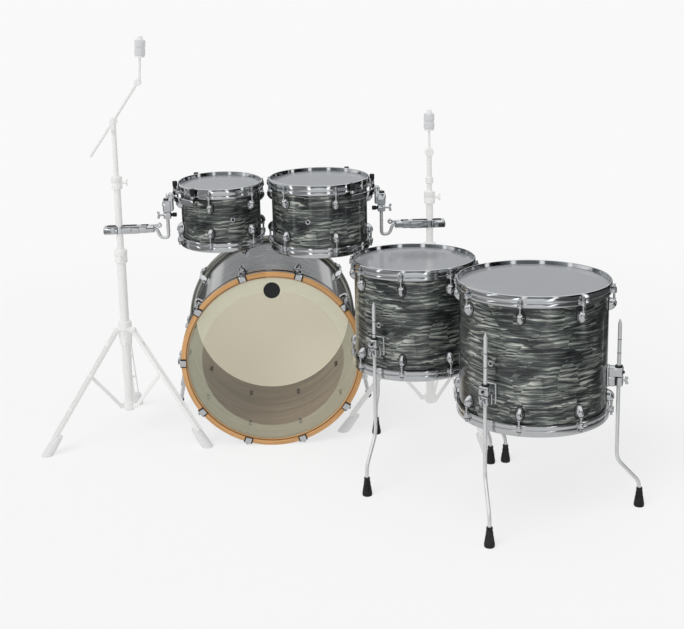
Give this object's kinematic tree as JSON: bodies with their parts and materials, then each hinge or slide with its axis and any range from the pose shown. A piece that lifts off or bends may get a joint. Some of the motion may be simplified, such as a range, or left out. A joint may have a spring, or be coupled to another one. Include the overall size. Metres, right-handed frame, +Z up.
{
  "type": "drum kit",
  "caption": "Drum kit seen from the player's side: bass drum on spurs, two rack toms on clamp holders, two floor toms on legs, and the pale stands that carry the rack toms.",
  "frame": {"origin": "on the floor, under the centre of the kit's bounding box", "axes": "+X to the player's right, where the floor toms stand; +Y away from the player; +Z up"},
  "size_m": [1.8156, 1.2338, 1.3182],
  "materials": {
    "shell_wrap": "wood plies under a charcoal pearl wrap",
    "maple_hoop": "lacquered natural maple",
    "dark_hoop": "lacquered, dark inlay",
    "clear_film": "clear film",
    "cream_film": "cream film",
    "coated_film": "grey film, slightly frosted",
    "chrome": "chrome plated",
    "chrome_rod": "chrome plated rod with a black rubber foot",
    "satin_metal": "pale satin plating, light grey rubber and felt"
  },
  "bodies": {
    "standing_kit": {"bass_shell": "shell_wrap", "bass_batter_hoop": "maple_hoop", "bass_batter_head": "clear_film", "bass_resonant_hoop": "dark_hoop", "bass_resonant_head": "cream_film", "floor14_shell": "shell_wrap", "floor14_top_hoop": "chrome", "floor14_bottom_hoop": "chrome", "floor14_top_head": "coated_film", "floor14_bottom_head": "clear_film", "floor16_shell": "shell_wrap", "floor16_top_hoop": "chrome", "floor16_bottom_hoop": "chrome", "floor16_top_head": "coated_film", "floor16_bottom_head": "clear_film", "left_stand_base_tube": "satin_metal", "right_stand_base_tube": "satin_metal"},
    "left_spur_tube": {"left_spur_tube": "chrome"},
    "left_spur_leg": {"left_spur_leg": "chrome"},
    "right_spur_tube": {"right_spur_tube": "chrome"},
    "right_spur_leg": {"right_spur_leg": "chrome"},
    "floor14_leg_1": {"floor14_leg_1": "chrome_rod"},
    "floor14_leg_2": {"floor14_leg_2": "chrome_rod"},
    "floor14_leg_3": {"floor14_leg_3": "chrome_rod"},
    "floor16_leg_1": {"floor16_leg_1": "chrome_rod"},
    "floor16_leg_2": {"floor16_leg_2": "chrome_rod"},
    "floor16_leg_3": {"floor16_leg_3": "chrome_rod"},
    "left_leg_collar": {"left_stand_leg_collar": "satin_metal"},
    "left_leg_1": {"left_stand_leg_1": "satin_metal"},
    "left_brace_1": {"left_stand_brace_1": "satin_metal"},
    "left_leg_2": {"left_stand_leg_2": "satin_metal"},
    "left_brace_2": {"left_stand_brace_2": "satin_metal"},
    "left_leg_3": {"left_stand_leg_3": "satin_metal"},
    "left_brace_3": {"left_stand_brace_3": "satin_metal"},
    "right_leg_collar": {"right_stand_leg_collar": "satin_metal"},
    "right_leg_1": {"right_stand_leg_1": "satin_metal"},
    "right_brace_1": {"right_stand_brace_1": "satin_metal"},
    "right_leg_2": {"right_stand_leg_2": "satin_metal"},
    "right_brace_2": {"right_stand_brace_2": "satin_metal"},
    "right_leg_3": {"right_stand_leg_3": "satin_metal"},
    "right_brace_3": {"right_stand_brace_3": "satin_metal"},
    "left_upper_tube": {"left_stand_upper_tube": "satin_metal"},
    "tom10_clamp": {"tom10_clamp": "chrome"},
    "tom10_holder": {"tom10_holder_rod": "chrome"},
    "tom10": {"tom10_shell": "shell_wrap", "tom10_top_hoop": "chrome", "tom10_bottom_hoop": "chrome", "tom10_top_head": "coated_film", "tom10_bottom_head": "clear_film", "tom10_suspension_bracket": "chrome"},
    "right_upper_tube": {"right_stand_upper_tube": "satin_metal"},
    "tom12_clamp": {"tom12_clamp": "chrome"},
    "tom12_holder": {"tom12_holder_rod": "chrome"},
    "tom12": {"tom12_shell": "shell_wrap", "tom12_top_hoop": "chrome", "tom12_bottom_hoop": "chrome", "tom12_top_head": "coated_film", "tom12_bottom_head": "clear_film", "tom12_suspension_bracket": "chrome"},
    "boom_arm": {"left_stand_boom_arm": "satin_metal"}
  },
  "joints": [
    {"name": "left_spur_fold", "type": "hinge", "parent": "standing_kit", "child": "left_spur_tube", "pos_m": [-0.47123, 0.41321, 0.2077], "axis": [0.9786, 0.0636, -0.1958], "range_deg": [0, 40]},
    {"name": "left_spur_length", "type": "slide", "parent": "left_spur_tube", "child": "left_spur_leg", "axis": [-0.2026, 0.4673, -0.8606], "range_m": [-0.012, 0.06]},
    {"name": "right_spur_fold", "type": "hinge", "parent": "standing_kit", "child": "right_spur_tube", "pos_m": [0.12203, 0.447, 0.2077], "axis": [0.9795, 0.0479, 0.1958], "range_deg": [0, 40]},
    {"name": "right_spur_length", "type": "slide", "parent": "right_spur_tube", "child": "right_spur_leg", "axis": [0.1482, 0.4873, -0.8606], "range_m": [-0.012, 0.06]},
    {"name": "floor14_leg_1_height", "type": "slide", "parent": "standing_kit", "child": "floor14_leg_1", "axis": [0, 0, 1], "range_m": [-0.04, 0.18]},
    {"name": "floor14_leg_2_height", "type": "slide", "parent": "standing_kit", "child": "floor14_leg_2", "axis": [0, 0, 1], "range_m": [-0.04, 0.18]},
    {"name": "floor14_leg_3_height", "type": "slide", "parent": "standing_kit", "child": "floor14_leg_3", "axis": [0, 0, 1], "range_m": [-0.04, 0.18]},
    {"name": "floor16_leg_1_height", "type": "slide", "parent": "standing_kit", "child": "floor16_leg_1", "axis": [0, 0, 1], "range_m": [-0.04, 0.18]},
    {"name": "floor16_leg_2_height", "type": "slide", "parent": "standing_kit", "child": "floor16_leg_2", "axis": [0, 0, 1], "range_m": [-0.04, 0.18]},
    {"name": "floor16_leg_3_height", "type": "slide", "parent": "standing_kit", "child": "floor16_leg_3", "axis": [0, 0, 1], "range_m": [-0.04, 0.18]},
    {"name": "left_collar_slide", "type": "slide", "parent": "standing_kit", "child": "left_leg_collar", "axis": [0, 0, 1], "range_m": [0, 0.05]},
    {"name": "left_leg_1_fold", "type": "hinge", "parent": "left_leg_collar", "child": "left_leg_1", "pos_m": [-0.67478, 0.23155, 0.365], "axis": [0.5807, -0.8141, 0], "range_deg": [0, 17.49]},
    {"name": "left_brace_1_fold", "type": "hinge", "parent": "standing_kit", "child": "left_brace_1", "pos_m": [-0.67234, 0.23329, 0.105], "axis": [-0.5807, 0.8141, 0], "range_deg": [0, 17.78]},
    {"name": "left_leg_2_fold", "type": "hinge", "parent": "left_leg_collar", "child": "left_leg_2", "pos_m": [-0.61961, 0.23686, 0.365], "axis": [0.4147, 0.91, 0], "range_deg": [0, 17.49]},
    {"name": "left_brace_2_fold", "type": "hinge", "parent": "standing_kit", "child": "left_brace_2", "pos_m": [-0.62234, 0.23811, 0.105], "axis": [-0.4147, -0.91, 0], "range_deg": [0, 17.78]},
    {"name": "left_leg_3_fold", "type": "hinge", "parent": "left_leg_collar", "child": "left_leg_3", "pos_m": [-0.65179, 0.28199, 0.365], "axis": [-0.9954, -0.0958, 0], "range_deg": [0, 17.49]},
    {"name": "left_brace_3_fold", "type": "hinge", "parent": "standing_kit", "child": "left_brace_3", "pos_m": [-0.65151, 0.279, 0.105], "axis": [0.9954, 0.0958, 0], "range_deg": [0, 17.78]},
    {"name": "right_collar_slide", "type": "slide", "parent": "standing_kit", "child": "right_leg_collar", "axis": [0, 0, 1], "range_m": [0, 0.05]},
    {"name": "right_leg_1_fold", "type": "hinge", "parent": "right_leg_collar", "child": "right_leg_1", "pos_m": [0.32445, 0.25771, 0.365], "axis": [0.0698, -0.9976, 0], "range_deg": [0, 17.49]},
    {"name": "right_brace_1_fold", "type": "hinge", "parent": "standing_kit", "child": "right_brace_1", "pos_m": [0.32745, 0.25792, 0.105], "axis": [-0.0698, 0.9976, 0], "range_deg": [0, 17.78]},
    {"name": "right_leg_2_fold", "type": "hinge", "parent": "right_leg_collar", "child": "right_leg_2", "pos_m": [0.37427, 0.23341, 0.365], "axis": [0.829, 0.5592, 0], "range_deg": [0, 17.49]},
    {"name": "right_brace_2_fold", "type": "hinge", "parent": "standing_kit", "child": "right_brace_2", "pos_m": [0.37259, 0.2359, 0.105], "axis": [-0.829, -0.5592, 0], "range_deg": [0, 17.78]},
    {"name": "right_leg_3_fold", "type": "hinge", "parent": "right_leg_collar", "child": "right_leg_3", "pos_m": [0.3704, 0.2887, 0.365], "axis": [-0.8988, 0.4384, 0], "range_deg": [0, 17.49]},
    {"name": "right_brace_3_fold", "type": "hinge", "parent": "standing_kit", "child": "right_brace_3", "pos_m": [0.36909, 0.286, 0.105], "axis": [0.8988, -0.4384, 0], "range_deg": [0, 17.78]},
    {"name": "left_stand_height", "type": "slide", "parent": "standing_kit", "child": "left_upper_tube", "axis": [0, 0, 1], "range_m": [-0.02, 0.15]},
    {"name": "tom10_swivel", "type": "hinge", "parent": "left_upper_tube", "child": "tom10_clamp", "pos_m": [-0.64873, 0.25013, 0.70043], "axis": [0, 0, 1], "range_deg": [-30, 45]},
    {"name": "tom10_tilt", "type": "hinge", "parent": "tom10_clamp", "child": "tom10_holder", "pos_m": [-0.64873, 0.25013, 0.70043], "axis": [0.9981, 0.061, 0], "range_deg": [-8, 8]},
    {"name": "tom10_slide", "type": "slide", "parent": "tom10_holder", "child": "tom10", "axis": [0.0042, -0.0679, 0.9977], "range_m": [0, 0.03]},
    {"name": "right_stand_height", "type": "slide", "parent": "standing_kit", "child": "right_upper_tube", "axis": [0, 0, 1], "range_m": [-0.02, 0.15]},
    {"name": "tom12_swivel", "type": "hinge", "parent": "right_upper_tube", "child": "tom12_clamp", "pos_m": [0.35638, 0.25994, 0.69863], "axis": [0, 0, 1], "range_deg": [-45, 3]},
    {"name": "tom12_tilt", "type": "hinge", "parent": "tom12_clamp", "child": "tom12_holder", "pos_m": [0.35638, 0.25994, 0.69863], "axis": [-0.9984, -0.0558, 0], "range_deg": [-6, 6]},
    {"name": "tom12_slide", "type": "slide", "parent": "tom12_holder", "child": "tom12", "axis": [0.002, -0.0366, 0.9993], "range_m": [0, 0.03]},
    {"name": "boom_tilt", "type": "hinge", "parent": "left_upper_tube", "child": "boom_arm", "pos_m": [-0.64873, 0.25013, 1.05203], "axis": [0, 1, 0], "range_deg": [-8, 50]}
  ],
  "couplings": [
    {"joint": "left_leg_1_fold", "follows": "left_collar_slide", "rad_per_m": 6},
    {"joint": "left_brace_1_fold", "follows": "left_collar_slide", "rad_per_m": 6.1},
    {"joint": "left_leg_2_fold", "follows": "left_collar_slide", "rad_per_m": 6},
    {"joint": "left_brace_2_fold", "follows": "left_collar_slide", "rad_per_m": 6.1},
    {"joint": "left_leg_3_fold", "follows": "left_collar_slide", "rad_per_m": 6},
    {"joint": "left_brace_3_fold", "follows": "left_collar_slide", "rad_per_m": 6.1},
    {"joint": "right_leg_1_fold", "follows": "right_collar_slide", "rad_per_m": 6},
    {"joint": "right_brace_1_fold", "follows": "right_collar_slide", "rad_per_m": 6.1},
    {"joint": "right_leg_2_fold", "follows": "right_collar_slide", "rad_per_m": 6},
    {"joint": "right_brace_2_fold", "follows": "right_collar_slide", "rad_per_m": 6.1},
    {"joint": "right_leg_3_fold", "follows": "right_collar_slide", "rad_per_m": 6},
    {"joint": "right_brace_3_fold", "follows": "right_collar_slide", "rad_per_m": 6.1}
  ]
}
